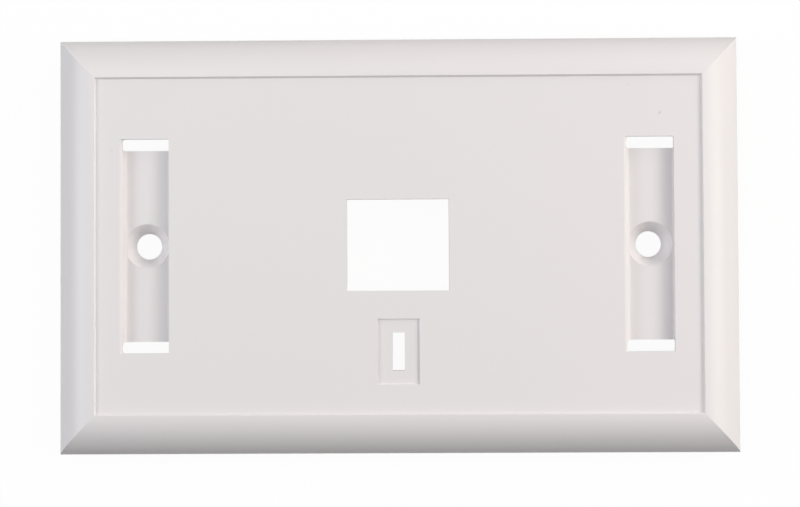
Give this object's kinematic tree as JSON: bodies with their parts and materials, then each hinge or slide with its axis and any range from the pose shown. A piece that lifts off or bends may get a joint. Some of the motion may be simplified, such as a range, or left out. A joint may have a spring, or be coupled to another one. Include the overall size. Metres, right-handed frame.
{
  "type": "keystone faceplate",
  "caption": "Rectangular wall faceplate with a rounded rim, a central keystone jack port, a label trough over each screw hole and a small icon recess.",
  "frame": {"origin": "on the axis of the jack port, at the back face of the jack housing, which is the lowest face of the part lying face up", "axes": "+Z out of the wall, towards the room; +X along the plate, from the fixed jack ledge to the jack latch; the icon recess lies towards -Y of the port"},
  "size_m": [0.1142, 0.0698, 0.0102],
  "materials": {
    "white_plastic": "smooth semi-gloss rim and finely textured matt panel"
  },
  "bodies": {
    "root": {"faceplate": "white_plastic"}
  },
  "joints": []
}
